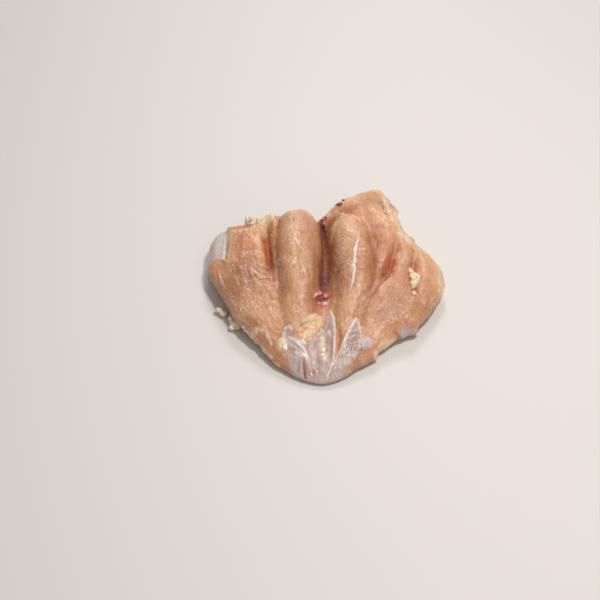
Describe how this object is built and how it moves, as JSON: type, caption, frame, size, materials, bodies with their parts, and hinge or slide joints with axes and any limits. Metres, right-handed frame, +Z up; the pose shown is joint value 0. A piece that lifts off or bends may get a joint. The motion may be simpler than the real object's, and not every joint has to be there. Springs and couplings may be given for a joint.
{
  "type": "raw chicken breast",
  "caption": "Raw boneless skinless whole chicken breast, butterflied heart shape lying skin side down, with inner fillets, furrows, a rolled shoulder and a tapered keel tip.",
  "frame": {"origin": "middle of the outline box, on the surface that the breast lies on", "axes": "+Z up out of the inner side, +X to the right across both halves, -Y towards the keel tip"},
  "size_m": [0.1706, 0.165, 0.048],
  "materials": {
    "raw_flesh": "damp raw flesh, satin with wet highlights",
    "fat": "soft cream fat, satin",
    "membrane": "thin wet membrane, glossy",
    "tendon": "white tendon, satin",
    "blood": "dark red, wet"
  },
  "bodies": {
    "root": {"chicken_breast": "raw_flesh"}
  },
  "joints": []
}
